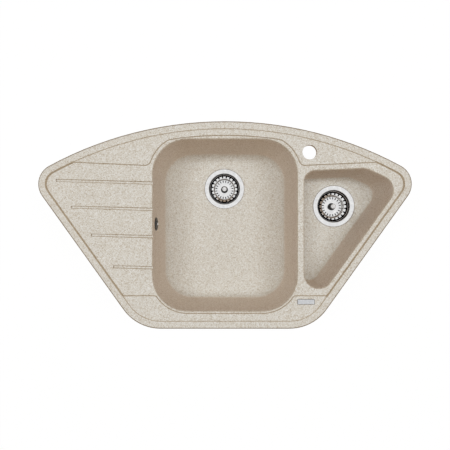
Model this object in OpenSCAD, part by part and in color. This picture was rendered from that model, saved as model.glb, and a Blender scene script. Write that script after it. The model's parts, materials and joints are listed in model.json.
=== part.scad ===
// Corner kitchen sink with a main bowl, a half bowl and a drainer, moulded in one piece of composite,
// with its basket strainers, overflow, link between the two wastes and fixing brackets.
// +X runs towards the half bowl, +Y towards the arched back and +Z up. The origin is the centre of
// the outline, on the plane of the worktop that the rim rests on.

/* [Outline] */
// Overall width
sink_w = 900; // [880:5:940]
// Overall depth, front to back
sink_d = 500; // [490:5:530]
// Radius of the arched back
back_r = 890; // [850:10:950]
// Angle of the sides from straight front to back
side_angle = 35.6; // [34.6:0.2:36.6]
// Radius of the two front corners
front_corner_r = 110; // [90:5:120]
// Radius of the two side corners
side_corner_r = 50; // [45:1:55]

/* [Rim and decks] */
// Height of the rim above the worktop
rim_h = 9; // [8:0.5:12]
// Width of the raised band round the edge
rim_w = 18.3; // [15:0.1:20]
// Radius of the rim's outer edge
rim_edge_r = 3.5; // [2:0.5:5]
// Drop from the rim to the tap deck and the front deck
deck_drop = 1.8; // [1:0.1:2.4]
// Drop from the rim to the drainer and the bowls' edges
recess_drop = 4; // [3:0.5:6]
// Width of the flat seat under the rim
seat_w = 20; // [18:1:22]
// Depth of the moulding under the seat, inside the worktop's cut-out
boss_drop = 3; // [2:0.5:4]
// Half the width, seen from above, of the step from the rim to the decks
deck_run = 1; // [0.6:0.1:1.2]
// Half the width, seen from above, of the step round the drainer and bowls
step_run = 1.5; // [1:0.1:2]
// Distance from the front edge to the step behind the front deck
front_deck_d = 78.7; // [70:0.1:85]
// Distance of the tap deck's front line in front of the back edge's crown, on the centre line
tap_deck_d = 113.9; // [108:0.1:120]
// Slope of the tap deck's front line
tap_deck_angle = 2.5; // [1.5:0.1:3.5]

/* [Shell] */
// Thickness of the bowls' walls and floors
shell_t = 8; // [6:0.5:9]
// Draft of the bowls' walls
draft = 1.5; // [1:0.25:3]
// Radius of a bowl's upper edge
lip_r = 4; // [3:0.5:5]

/* [Main bowl] */
// Distance from either end of the sink to the mouth
main_wing_w = 276; // [274:1:285]
// Distance from the front edge, and from the back edge's crown, to the mouth
main_end_gap = 43; // [41:1:50]
// Radius of the mouth's corners
main_corner_r = 84; // [70:2:95]
// Depth below the bowls' edges
main_depth = 190; // [160:5:220]
// Radius between the walls and the floor
main_floor_r = 26; // [24:1:42]
// Band between the mouth's corners and the step behind them
back_band = 11; // [10:0.5:13]
// Band between the mouth and the step in front of it
front_band = 7; // [6.5:0.5:8]
// Distance from the arched edge to the step behind the main bowl
arc_band = 33; // [30:0.5:34]

/* [Half bowl] */
// Width of the web between the two mouths
web_t = 18; // [17:1:24]
// Distance from the outline's side to the mouth
half_side_gap = 30.5; // [29:0.5:36]
// Distance from the outline's side corner to the mouth's shoulder
half_shoulder_gap = 40.6; // [36:0.2:46]
// Distance from the tap deck's front line to the mouth
half_back_gap = 14.7; // [12:0.1:20]
// Slope of the shoulder
half_shoulder_angle = 24.5; // [20:0.5:30]
// Radius of the mouth's corner beside the web
half_web_r = 26; // [20:1:34]
// Radius of the mouth's shoulder
half_shoulder_r = 30; // [24:1:40]
// Radius of the mouth's side corner
half_side_r = 35; // [28:1:40]
// Radius of the mouth's front corner
half_front_r = 34.5; // [28:0.5:38]
// Depth below the bowls' edges
half_depth = 136; // [110:2:160]
// Radius between the walls and the floor
half_floor_r = 12; // [9:0.5:15]

/* [Drainer] */
// Width of a channel
groove_w = 7.8; // [6:0.2:10]
// Width, seen from above, of a channel's sloping side
groove_side = 1.4; // [1:0.1:2]
// Depth of a channel where it meets the bowl
groove_depth = 2.2; // [1.6:0.1:2.6]
// Depth of a channel at its other end
groove_end_depth = 1.4; // [1:0.1:1.6]
// Slope of the channels, seen from above
groove_angle = 1.6; // [0:0.1:3]
// Distance from the outline's side to where a channel begins
groove_gap = 38.3; // [32:0.5:50]
// Distance from the side corner to where a channel begins
groove_corner_gap = 42; // [38:1:60]

/* [Tap hole] */
// Diameter of the tap hole
tap_d = 35; // [32:0.5:38]
// Distance of the tap hole to the right of the main bowl's mouth
tap_bowl_gap = 30; // [24:1:38]
// Distance of the tap hole in front of the back edge's crown
tap_back_gap = 74.6; // [70:0.1:80]

/* [Waste places] */
// Distance of the main waste to the right of the centre
main_drain_x = -1; // [-20:1:20]
// Flat floor left between the main flange and the back wall's rounding
main_drain_gap = 13.7; // [2:0.1:60]
// Flat floor left between the half bowl's flange and the side wall's rounding
half_drain_gap = 3.6; // [0.5:0.1:8]
// Flat floor left between the half bowl's flange and the back wall's rounding
half_drain_back_gap = 8.9; // [1:0.1:12]

/* [Strainer cup] */
// Diameter of the flange
flange_d = 113; // [110:0.5:116]
// Diameter of the hole in a bowl's floor
drain_hole_d = 91; // [90.4:0.2:92]
// Thickness of the pressed steel
cup_t = 1; // [0.8:0.1:1.2]
// Inner radius of the cup's throat
throat_r = 43.5; // [43:0.1:43.8]
// Depth of the throat's ledge
ledge_depth = 8; // [6:0.5:9]
// Width of the throat's ledge
ledge_w = 2.6; // [2:0.1:3]
// Depth of the cup
cup_depth = 33; // [31.5:0.5:38]
// Radius of the opening in the cup's bottom
outlet_r = 20; // [17:0.5:21]
// Width of the four spokes across the opening
spoke_w = 5; // [4:0.5:7]
// Radius of the hub that the spokes carry
hub_r = 8; // [7:0.5:9]

/* [Basket] */
// Radius over the fingers
basket_r = 36.5; // [34:0.5:37.5]
// Radius of the flat floor
basket_floor_r = 28; // [27.5:0.5:29]
// Thickness of the steel
basket_t = 0.8; // [0.6:0.1:1]
// Number of fingers
fingers = 20; // [16:1:24]
// Width of the gap between two fingers
finger_gap = 4.2; // [3:0.1:5]
// Width of a slot in the floor
slot_w = 2.6; // [2:0.1:3]
// Radius where the floor's slots begin
slot_in_r = 20.8; // [19:0.1:22]
// Radius where the floor's slots end
slot_out_r = 27; // [25.5:0.1:27.2]
// Radius of the knob
knob_r = 6.7; // [6:0.1:8]
// Radius of the dark collar under the knob
collar_r = 10; // [9:0.1:12]
// Radius of the stem
stem_r = 3; // [2.5:0.1:3.2]
// Radius of the rubber plug under the basket
plug_r = 25; // [23:0.5:26]

/* [Waste body] */
// Thickness of a moulded wall
body_t = 3; // [2.5:0.5:4]
// Radius of the tail's outside
tail_r = 23.5; // [23:0.1:24.5]
// Length of the tail
tail_l = 22; // [20:1:30]
// Thickness of the gasket under a bowl's floor
gasket_t = 2; // [1.5:0.5:3]
// Radius of the clamping screw
screw_r = 3; // [2.5:0.1:3.2]

/* [Waste pipes] */
// Outer radius of a waste pipe
pipe_r = 20; // [19:0.1:20.5]
// Wall of a waste pipe
pipe_t = 2; // [1.5:0.1:3]
// Distance from the end of the main waste's tail down to the link pipe's axis
link_drop = 50; // [46:1:70]
// Length of the open spigot below the link pipe's axis
spigot_l = 60; // [55:1:90]
// Bend radius of the elbow
bend_r = 34; // [30:1:40]
// Depth of a push-fit socket
socket_l = 28; // [24:1:34]

/* [Overflow] */
// Distance of the overflow behind the centre
overflow_y = 3; // [-30:1:30]
// Depth of the overflow below the bowls' edges
overflow_depth = 40; // [34:1:60]
// Radius of the hole in the bowl's wall
overflow_hole_r = 12; // [10:0.5:13]
// Radius of the cover
overflow_cover_r = 16.5; // [15:0.5:20]
// Number of slots in the cover
overflow_slots = 10; // [8:1:12]
// Outer radius of the hose's nipples
nipple_r = 9; // [8:0.5:10]
// Bend radius of the hose
hose_bend_r = 48; // [40:1:60]
// Spacing of the hose's ribs
rib_pitch = 4.8; // [4.5:0.1:8]

/* [Fixing] */
// Thickness of the worktop that the brackets hold
worktop_t = 38; // [28:1:40]
// Distance of a bracket's screw from the outline
clip_inset = 26.5; // [26.5:0.5:28]
// Width of a bracket
clip_w = 16; // [12:1:20]
// Thickness of a bracket
clip_t = 2; // [1.5:0.5:2.5]
// Distance of the screw beside the half bowl's front end from the bowl's wall
clip_bowl_gap = 30; // [26:1:34]
// Width of the sealing strip under the rim
strip_w = 8; // [6:0.5:9]

/* [Hidden] */

sag = 0.15;
round_fn = 96;
fit = 0.3;
eps = 0.5;
steel = [0.86, 0.86, 0.87];
composite = [0.83, 0.80, 0.75];
plastic = [0.92, 0.92, 0.90];
rubber = [0.12, 0.12, 0.12];
brass = [0.78, 0.64, 0.35];

recess_z = rim_h - recess_drop;
deck_z = rim_h - deck_drop;
boss_z = -boss_drop;
main_w = sink_w - 2 * main_wing_w;
main_l = sink_d - 2 * main_end_gap;
tap_x = main_w / 2 + tap_bowl_gap;
lip_z = recess_z - lip_r;
front_line = [-90, sink_d / 2];
back_c = [0, sink_d / 2 - back_r];
side_c = let (x = sink_w / 2 - side_corner_r)
    [x, back_c.y + sqrt(pow(back_r - side_corner_r, 2) - x * x)];
side_n = -side_angle;
side_line = [side_n, side_c * unit(side_n) + side_corner_r];
back_a = heading(back_c, side_c);
deck_n = 90 + tap_deck_angle;
deck_line = [deck_n, (sink_d / 2 - tap_deck_d) * sin(deck_n)];
half_left = main_w / 2 + web_t;
half_shoulder_n = 90 - half_shoulder_angle;
main_floor = recess_z - main_depth;
half_floor = recess_z - half_depth;

// Directions and places in plan

function unit(a) = [cos(a), sin(a)];
function heading(from, to) = atan2(to.y - from.y, to.x - from.x);
function flip(list) = [for (i = [len(list) - 1 : -1 : 0]) list[i]];

// A line is [direction of its outward normal, distance from the origin]. Two of them meet here.
function meet(a, b) = let (det = sin(b[0] - a[0]))
    [(a[1] * sin(b[0]) - b[1] * sin(a[0])) / det, (b[1] * cos(a[0]) - a[1] * cos(b[0])) / det];
function inset(line, by) = [line[0], line[1] - by];

// An arc is [centre, radius, first normal, last normal, 1 if it starts where the one before ends].
// A hollow corner has a negative radius, so the same formula gives its points and its offsets.
function corner(a, b, r) = [meet(inset(a, r), inset(b, r)), r, a[0], b[0], 0];

// Centre of a corner of radius r between a line and a circle, on the side that side (1 or -1) says.
function line_circle(line, mid, rad, r, side) =
    let (m = unit(line[0] - 90), v = unit(line[0]) * (line[1] - r) - mid, p = v * m)
    mid + v + m * (side * sqrt(p * p - v * v + pow(rad - r, 2)) - p);

// Where two circles cross, on the right of the way from the first centre to the second.
function circles(a, ra, b, rb) =
    let (d = norm(b - a), e = (b - a) / d, k = (ra * ra - rb * rb + d * d) / (2 * d))
    a + e * k + [e.y, -e.x] * sqrt(ra * ra - k * k);

function steps(r, turn) = max(1, ceil(abs(turn) / (2 * acos(1 - sag / max(abs(r), 1)))));
function ring(path, off) = [for (c = path) let (n = steps(c[1], c[3] - c[2]))
    for (i = [c[4] : n]) c[0] + (c[1] + off) * unit(c[2] + (c[3] - c[2]) * i / n)];
function mirrored(half) = concat(half, [for (i = [len(half) - 2 : -1 : 0]) [-half[i].x, half[i].y]]);

front_corner = corner(front_line, side_line, front_corner_r);
outline = [front_corner, [side_c, side_corner_r, side_n, back_a, 0],
    [back_c, back_r, back_a, 90, 1]];
main_path = [for (i = [0 : 3])
    let (a = [i * 90 - 90, (i % 2 == 0 ? main_l : main_w) / 2], b = [i * 90, (i % 2 == 0 ? main_w : main_l) / 2])
    corner(a, b, main_corner_r)];
half_side = inset(side_line, half_side_gap);
half_shoulder = [half_shoulder_n,
    side_c * unit(half_shoulder_n) + side_corner_r - half_shoulder_gap];
half_back = inset(deck_line, half_back_gap);
half_path = [corner([-180, -half_left], half_side, half_front_r),
    corner(half_side, half_shoulder, half_side_r),
    corner(half_shoulder, half_back, half_shoulder_r),
    corner(half_back, [180, -half_left], half_web_r)];

// Edge of the area that is sunk for the drainer and the bowls: along the rim, round behind the main
// bowl and round in front of it.
blend_r = 14;
front_blend_r = 6;
arc_blend_r = 20;
tight_r = 3;
bowl_back = [main_w / 2 - main_corner_r, main_l / 2 - main_corner_r];
bowl_front = [bowl_back.x, -bowl_back.y];
front_r = main_corner_r + front_band;
surround_r = main_corner_r + back_band;
front_step = [-90, sink_d / 2 - front_deck_d];
rim_line = inset(side_line, rim_w);
c_front = line_circle(front_step, bowl_front, front_r, -front_blend_r, -1);
c_rim = line_circle(deck_line, back_c, back_r - rim_w, tight_r, 1);
c_deck = line_circle(deck_line, bowl_back, surround_r, -blend_r, 1);
c_arc = circles(back_c, back_r - arc_band - arc_blend_r, bowl_back, surround_r - arc_blend_r);
recess_path = [
    [bowl_front, front_r, -90, heading(bowl_front, c_front), 0],
    [c_front, -front_blend_r, heading(bowl_front, c_front), -90, 1],
    corner(front_step, rim_line, tight_r),
    [side_c, side_corner_r - rim_w, side_n, back_a, 0],
    [back_c, back_r - rim_w, back_a, heading(back_c, c_rim), 1],
    [c_rim, tight_r, heading(back_c, c_rim), deck_n, 1],
    [c_deck, -blend_r, deck_n, heading(bowl_back, c_deck), 0],
    [bowl_back, surround_r, heading(bowl_back, c_deck), heading(bowl_back, c_arc), 1],
    [c_arc, arc_blend_r, heading(bowl_back, c_arc), heading(back_c, c_arc), 1],
    [back_c, back_r - arc_band, heading(back_c, c_arc), 90, 1]];

// Profiles are lists of [offset from the path, height], from the bottom up

function arc_at(c, r, from, to, n) = [for (i = [0 : n]) c + r * unit(from + (to - from) * i / n)];

// Centre of the floor's rounding, of radius r, in from the wall
function fillet_c(depth, r) = [(sin(draft) * (r - depth + lip_r) - r) / cos(draft), recess_z - depth + r];
function cavity_profile(depth, r) = concat(
    arc_at(fillet_c(depth, r), r, -90, -draft, r > 25 ? 7 : 5),
    arc_at([lip_r, lip_z], lip_r, 180, 112.5, 3),
    [[lip_r * 1.12, recess_z + lip_r * 0.024], [lip_r * 1.12, rim_h + 1]]);
function shell_profile(depth, r) = concat(
    arc_at(fillet_c(depth, r), r + shell_t, -90, -draft, 4),
    [[shell_t / cos(draft) + tan(draft) * (boss_z + 1 - lip_z), boss_z + 1]]);
rim_profile = concat([[-0.8, 0], [0, 0.8]],
    arc_at([-rim_edge_r, rim_h - rim_edge_r], rim_edge_r, 0, 90, 4));
function step_profile(off, run, drop) = [[off - run, rim_h - drop], [off - run * 0.5, rim_h - drop * 0.84],
    [off + run * 0.5, rim_h - drop * 0.16], [off + run * 1.25, rim_h + drop * 0.08]];
deck_profile = step_profile(-rim_w, deck_run, deck_drop);
recess_profile = step_profile(0, step_run, recess_drop);

// Places of the wastes on the bowls' floors
seat_gap = 0.6;
seat_r = flange_d / 2 + seat_gap;
main_flat = fillet_c(main_depth, main_floor_r).x;
half_flat = fillet_c(half_depth, half_floor_r).x;
half_place = meet(inset(half_side, seat_r + half_drain_gap - half_flat),
    inset(half_back, seat_r + half_drain_back_gap - half_flat));
half_mid = half_place + [-6, 4];
MAIN = [main_drain_x, main_l / 2 + main_flat - seat_r - main_drain_gap, main_floor];
HALF = [half_place.x, half_place.y, half_floor];

// Solid through rings of equal length, each [points, height], from the bottom up. mid is a point
// that sees the whole of the first and the last ring.
module loft(rings, mid = [0, 0]) {
    n = len(rings[0][0]);
    m = len(rings);
    polyhedron(concat([for (r = rings) for (p = r[0]) [p.x, p.y, r[1]]],
        [[mid.x, mid.y, rings[0][1]], [mid.x, mid.y, rings[m - 1][1]]]),
        [for (k = [0 : m - 2]) for (i = [0 : n - 1])
            let (a = k * n + i, b = k * n + (i + 1) % n) each [[a, a + n, b + n], [a, b + n, b]],
        for (i = [0 : n - 1]) let (j = (i + 1) % n) each [[m * n, i, j], [m * n + 1, m * n - n + j, m * n - n + i]]]);
}

module outline_loft(profile) loft([for (p = profile) [mirrored(ring(outline, p[0])), p[1]]]);
module path_loft(path, profile, mid) loft([for (p = profile) [ring(path, p[0]), p[1]]], mid);

// The outline in plan, moved in or out
module plan(off) polygon(mirrored(ring(outline, off)));

// Places of the fixing brackets: [x, y, direction outwards]

clip_boss_r = 6;
clip_anchor_r = 4;
clip_boss_h = 12;
front_clip_in = 50;
side_top = side_c.y + side_corner_r * sin(side_n);
side_low = front_corner[0].y + front_corner_r * sin(side_n);
function on_side(part) = let (y = side_top + (side_low - side_top) * part)
    [(side_line[1] - clip_inset - y * sin(side_n)) / cos(side_n), y];
arc_clips = [for (a = [back_a + 6, 90, 174 - back_a])
    let (p = back_c + (back_r - clip_inset) * unit(a)) [p.x, p.y, a]];
front_clips = [for (s = [-1, 1]) [s * (front_corner[0].x - front_clip_in), clip_inset - sink_d / 2, -90]];
left_clips = [for (part = [0.07, 0.51]) let (p = on_side(part)) [-p.x, p.y, 180 - side_n]];
right_clip = let (c = front_corner[0], p = circles(c, front_corner_r - clip_inset, half_path[0][0],
    half_front_r + shell_t + clip_bowl_gap)) [p.x, p.y, heading(c, p)];
corner_clip = let (p = side_c + (side_corner_r - clip_inset) * unit(15)) [p.x, p.y, 15];
clips = concat(arc_clips, front_clips, left_clips, [right_clip, corner_clip]);
module at_clips() for (c = clips) translate([c.x, c.y, 0]) rotate([0, 0, c[2]]) children();

// The composite moulding. A block fills the gap between the walls of the two bowls.

web_l = 190;
web_h = 40;
module sink_body() color(composite) difference() {
    difference() {
        union() {
            outline_loft(rim_profile);
            translate([0, 0, boss_z]) linear_extrude(boss_drop + 1) plan(-seat_w);
            path_loft(main_path, shell_profile(main_depth, main_floor_r), [0, 0]);
            path_loft(half_path, shell_profile(half_depth, half_floor_r), half_mid);
            translate([main_w / 2 + shell_t / 2, -web_l * 0.55, -web_h])
                cube([web_t - shell_t, web_l, web_h - boss_drop + eps]);
            clip_bosses();
        }
        outline_loft(deck_profile);
        loft([for (p = recess_profile) [mirrored(ring(recess_path, p[0])), p[1]]]);
        path_loft(main_path, cavity_profile(main_depth, main_floor_r), [0, 0]);
        path_loft(half_path, cavity_profile(half_depth, half_floor_r), half_mid);
    }
    drainer_channels();
    translate([tap_x, sink_d / 2 - tap_back_gap, boss_z - 1])
        cylinder(r = tap_d / 2, h = rim_h + boss_drop + 2, $fn = round_fn);
    for (b = [MAIN, HALF]) translate(b) drain_seat();
    clip_sockets();
    at_overflow() translate([0, 0, -shell_t * 2])
        cylinder(r = overflow_hole_r, h = shell_t * 3, $fn = round_fn);
    translate([0, 0, -eps]) linear_extrude(strip_h + fit + eps) strip_plan(strip_w + fit * 2);
}

// Hole and stepped recess for a strainer, from the top of a bowl's floor
recess_depth = 1.2 + cup_t;
module drain_seat() {
    translate([0, 0, -shell_t - 1]) cylinder(d = drain_hole_d, h = shell_t + 2, $fn = round_fn);
    translate([0, 0, -recess_depth]) cylinder(r = seat_r, h = recess_depth + 1, $fn = round_fn);
}

// Shallow channels that deepen towards the main bowl
groove_y = [101, 37.5, -28.5, -103.5];
module drainer_channels() for (y = groove_y) {
    x0 = -main_w / 2 - lip_r;
    start = min((side_line[1] - groove_gap - y * sin(side_n)) / cos(side_n),
        sink_w / 2 - groove_corner_gap);
    run = start + x0;
    fall = (groove_depth - groove_end_depth) / run;
    translate([x0 + lip_r * 2, y, recess_z - groove_depth - fall * lip_r * 2])
        rotate([0, -atan(fall), 180 - groove_angle]) rotate([90, 0, 90])
            linear_extrude(run + lip_r * 2) polygon([
                [-groove_w / 2 + groove_side, 0], [groove_w / 2 - groove_side, 0],
                [groove_w / 2 + groove_side, groove_depth * 2], [-groove_w / 2 - groove_side, groove_depth * 2]]);
}

// Strip that seals the rim to the worktop, in its groove under the rim
strip_in = 4;
strip_h = 1.5;
module strip_plan(w) difference() {
    plan(-strip_in - strip_w / 2 + w / 2);
    plan(-strip_in - strip_w / 2 - w / 2);
}
module rim_seal() color(rubber) linear_extrude(strip_h) strip_plan(strip_w);

// Steel and rubber pieces of a basket strainer. Heights are from the bowl's floor.

// The underside of sheet of thickness t whose upper side is a line of points, and the closed profile
function under(p, t) = let (n = len(p), d = [for (i = [0 : n - 2]) (p[i + 1] - p[i]) / norm(p[i + 1] - p[i])])
    [for (i = [0 : n - 1]) let (a = d[max(i - 1, 0)], b = d[min(i, n - 2)], m = [a.y + b.y, -a.x - b.x])
        p[i] + m * (2 * t / (m * m))];
function thick(p, t) = concat(p, flip(under(p, t)));

seat_t = 1;
flange_under = -recess_depth + seat_t;
ledge_r = throat_r - ledge_w;
cup_inside = [[0, -cup_depth], [ledge_r - 5, -cup_depth], [ledge_r - 1.6, -cup_depth + 4],
    [ledge_r - 0.3, -ledge_depth - 0.6], [ledge_r + 0.3, -ledge_depth], [throat_r, -ledge_depth], [throat_r, -3]];
module flange() color(steel) difference() {
    rotate_extrude($fn = round_fn) polygon(concat(cup_inside,
        arc_at([throat_r + 3, -2.9], 3, 180, 120, 4),
        arc_at([flange_d / 2 - 5.5, -3.2], 3.6, 120, 85, 3),
        arc_at([flange_d / 2 - 1, flange_under + 1.1], 1, 70, 0, 3),
        [[flange_d / 2, flange_under], [throat_r + cup_t + 1.5, flange_under]],
        flip(under(cup_inside, cup_t))));
    translate([0, 0, -cup_depth - cup_t - 1]) linear_extrude(cup_t + 2) difference() {
        circle(outlet_r, $fn = round_fn);
        circle(hub_r, $fn = round_fn);
        for (a = [45, 135]) rotate(a) square([outlet_r * 3, spoke_w], center = true);
    }
    translate([0, 0, -cup_depth - cup_t - 1]) cylinder(r = screw_r + fit, h = cup_t + 2, $fn = round_fn);
}

module ring_of(r0, r1, z0, z1) translate([0, 0, z0]) difference() {
    cylinder(r = r1, h = z1 - z0, $fn = round_fn);
    translate([0, 0, -eps]) cylinder(r = r0, h = z1 - z0 + eps * 2, $fn = round_fn);
}

module upper_seal() color(rubber) ring_of(throat_r + cup_t + 2.5, flange_d / 2 - 1, -recess_depth, flange_under);
gasket_z = -shell_t - gasket_t;
body_r = drain_hole_d / 2 + 6;
module lower_gasket() color(rubber) ring_of(drain_hole_d / 2 + 0.7, body_r, gasket_z, -shell_t);

// Basket: a flat floor with slots, a short wall and fingers that flare out from its top
plug_z = -cup_depth + fit;
plug_h = 6.7;
basket_z = plug_z + plug_h + fit / 3;
basket_top = -ledge_depth - 1;
flare_z = basket_top - 4.1;
flare_a = 112;
module basket() color(steel) difference() {
    rotate_extrude($fn = round_fn) polygon(thick(concat([[0, basket_z + basket_t]],
        arc_at([basket_floor_r - 0.7, basket_z + basket_t + 2], 2, -90, 0, 4),
        arc_at([basket_floor_r + 4, flare_z], 2.6, 180, flare_a, 4),
        [[basket_r, basket_top]]), basket_t));
    cylinder(r = stem_r + fit / 2, h = cup_depth * 2, center = true, $fn = round_fn);
    for (i = [0 : fingers - 1]) rotate([0, 0, (i + 0.5) * 360 / fingers]) {
        translate([basket_floor_r + 3.7 + finger_gap / 2, 0, flare_z]) {
            translate([0, -finger_gap / 2, 0]) cube([basket_r, finger_gap, cup_depth]);
            cylinder(d = finger_gap, h = cup_depth, $fn = 24);
        }
        for (x = [slot_in_r, slot_out_r]) translate([x + (x == slot_in_r ? 1 : -1) * slot_w / 2, 0, basket_z - 1])
            cylinder(d = slot_w, h = basket_t + 2, $fn = 24);
        translate([slot_in_r + slot_w / 2, -slot_w / 2, basket_z - 1])
            cube([slot_out_r - slot_in_r - slot_w, slot_w, basket_t + 2]);
    }
}

// Turned knob with a dished top and a blind hole for the stem
collar_z = basket_z + basket_t + fit / 3;
collar_h = 2.5;
knob_z = collar_z + collar_h + fit / 3;
knob_top = -2.5;
module basket_knob() color(steel) difference() {
    rotate_extrude($fn = round_fn) polygon(concat(
        [[0, knob_z], [stem_r + 2.6, knob_z], [stem_r + 1.6, knob_z + 3], [stem_r + 1.2, knob_top - 6]],
        arc_at([knob_r - 1, knob_top - 3.5], 1, -60, 0, 2),
        arc_at([knob_r - 1.6, knob_top - 1.6], 1.6, 0, 90, 4),
        [[knob_r * 0.5, knob_top], [knob_r * 0.4, knob_top - 0.5], [0, knob_top - 0.8]]));
    translate([0, 0, knob_z - eps]) cylinder(r = stem_r + 0.05, h = knob_top - 4 - knob_z + eps, $fn = round_fn);
}
module basket_collar() color(rubber) difference() {
    rotate_extrude($fn = round_fn) polygon(concat([[0, collar_z], [collar_r, collar_z]],
        arc_at([collar_r - 1, collar_z + collar_h - 1], 1, 0, 90, 3), [[0, collar_z + collar_h]]));
    cylinder(r = stem_r + fit / 2, h = cup_depth * 2, center = true, $fn = round_fn);
}

// Threaded stem, from the nut under the plug up into the knob
screw_head_h = 2.5;
nut_h = 2.4;
stem_z = -cup_depth + screw_head_h + fit;
module basket_stem() color(steel) translate([0, 0, stem_z])
    cylinder(r = stem_r, h = knob_top - 4.5 - stem_z, $fn = round_fn);
module basket_nut() color(steel) translate([0, 0, stem_z + 0.4]) difference() {
    cylinder(r = stem_r + 2.6, h = nut_h, $fn = 6);
    translate([0, 0, -eps]) cylinder(r = stem_r + 0.05, h = nut_h + eps * 2, $fn = round_fn);
}

// Rubber plug that closes the cup's outlet, with room under it for the nut
module basket_plug() color(rubber) difference() {
    rotate_extrude($fn = round_fn) polygon([[0, plug_z], [plug_r - 1, plug_z], [plug_r, plug_z + 1],
        [plug_r - 1.5, plug_z + 3], [plug_r - 7, plug_z + plug_h], [0, plug_z + plug_h]]);
    translate([0, 0, plug_z - eps])
        cylinder(r = stem_r + 4.5, h = stem_z + 0.4 + nut_h + fit / 3 - plug_z + eps, $fn = round_fn);
    cylinder(r = stem_r + fit / 2, h = cup_depth * 2, center = true, $fn = round_fn);
}

// Moulded body under the floor, which the screw pulls up against the gasket
chamber_z = -cup_depth - 7;
cone_h = 16;
tail_z = chamber_z - cone_h - tail_l;
chamber_r = drain_hole_d / 2 + 2;
insert_h = 8;
insert_z = -cup_depth - cup_t - 3 - insert_h;
hub_top = -cup_depth - cup_t - 0.6;
module waste_body(inlet = false) color(plastic) difference() {
    union() {
        difference() {
            union() {
                rotate_extrude($fn = round_fn) polygon([[0, tail_z], [tail_r, tail_z],
                    [tail_r, chamber_z - cone_h], [chamber_r, chamber_z], [chamber_r, gasket_z - 6],
                    [body_r, gasket_z - 4], [body_r, gasket_z], [0, gasket_z]]);
                if (inlet) at_hose() translate([0, 0, chamber_r - body_t / 2])
                    cylinder(r = nipple_r, h = hose_start - chamber_r + body_t / 2 + nipple_in, $fn = round_fn);
            }
            rotate_extrude($fn = round_fn) polygon([[0, tail_z - 1], [tail_r - body_t - 1.5, tail_z - 1],
                [tail_r - body_t - 1.5, chamber_z - cone_h + 1], [chamber_r - body_t, chamber_z + 1],
                [chamber_r - body_t, gasket_z + 1], [0, gasket_z + 1]]);
            if (inlet) at_hose() cylinder(r = nipple_r - 2, h = body_r * 3, $fn = round_fn);
        }
        translate([0, 0, insert_z - 2]) cylinder(r = hub_r + 1, h = hub_top - insert_z + 2, $fn = round_fn);
        intersection() {
            for (a = [0, 90]) rotate([0, 0, a]) translate([-chamber_r + 1, -1.5, insert_z - 2])
                cube([chamber_r * 2 - 2, 3, hub_top - insert_z]);
            rotate_extrude($fn = round_fn) polygon([[0, chamber_z - cone_h], [tail_r - 1, chamber_z - cone_h],
                [chamber_r - 1, chamber_z], [chamber_r - 1, gasket_z - 6], [0, gasket_z - 6]]);
        }
    }
    translate([0, 0, insert_z]) cylinder(r = screw_r + 2.55, h = insert_h + fit / 3, $fn = round_fn);
    translate([0, 0, insert_z - 3]) cylinder(r = screw_r + fit, h = cup_depth, $fn = round_fn);
}
module insert_nut() color(brass) ring_of(screw_r + 0.05, screw_r + 2.5, insert_z, insert_z + insert_h);
module centre_screw() color(steel) {
    translate([0, 0, insert_z - 1])
        cylinder(r = screw_r, h = -cup_depth - insert_z + 1 + eps, $fn = round_fn);
    difference() {
        rotate_extrude($fn = round_fn) polygon(concat([[0, -cup_depth], [screw_r + 2.4, -cup_depth]],
            arc_at([screw_r + 1.4, -cup_depth + screw_head_h - 1], 1, 0, 90, 3),
            [[0, -cup_depth + screw_head_h]]));
        translate([-screw_r * 2, -0.6, -cup_depth + screw_head_h - 1.2]) cube([screw_r * 4, 1.2, 2]);
    }
}

// Flat washer and ribbed slip nut that hold a flanged pipe to the tail
washer_t = 2;
collar_t = 3;
pipe_top = tail_z - washer_t;
module outlet_washer() color(rubber) ring_of(pipe_r - pipe_t + 1, tail_r - 0.1, pipe_top, tail_z);
module outlet_nut() color(plastic) difference() {
    union() {
        translate([0, 0, pipe_top - collar_t - 3]) cylinder(r = tail_r + 4, h = collar_t + 17, $fn = round_fn);
        for (i = [0 : 7]) rotate([0, 0, i * 45]) translate([tail_r + 3, -2, pipe_top - collar_t - 3])
            cube([3.4, 4, collar_t + 15]);
    }
    translate([0, 0, pipe_top - collar_t - fit / 3])
        cylinder(r = tail_r + fit, h = collar_t + 20, $fn = round_fn);
    translate([0, 0, pipe_top - collar_t - 4]) cylinder(r = pipe_r + fit, h = 6, $fn = round_fn);
}

// Pipes between the two wastes. The link's frame stands on one waste and its +X runs to the other.

link_z = MAIN.z + tail_z - washer_t - link_drop;
link_len = norm([MAIN.x - HALF.x, MAIN.y - HALF.y]);
link_a = atan2(MAIN.y - HALF.y, MAIN.x - HALF.x);
socket_r = pipe_r + 5.5;
tee_reach = pipe_r + 8;
module tube(r, h) difference() {
    cylinder(r = r, h = h, $fn = round_fn);
    translate([0, 0, -eps]) cylinder(r = r - pipe_t, h = h + eps * 2, $fn = round_fn);
}

// Push-fit socket along +Z, its mouth at the top, with the groove of its seal
module socket() difference() {
    union() {
        cylinder(r = socket_r, h = socket_l, $fn = round_fn);
        translate([0, 0, socket_l - 12]) cylinder(r = socket_r + 1.5, h = 10, $fn = round_fn);
    }
    translate([0, 0, -eps]) cylinder(r = pipe_r - pipe_t, h = socket_l, $fn = round_fn);
    translate([0, 0, 3]) cylinder(r = pipe_r + fit, h = socket_l, $fn = round_fn);
    translate([0, 0, socket_l - 10]) cylinder(r = pipe_r + 3, h = 6, $fn = round_fn);
}
module socket_seal() ring_of(pipe_r + 0.1, pipe_r + 2.8, socket_l - 9.8, socket_l - 4.2);

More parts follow.
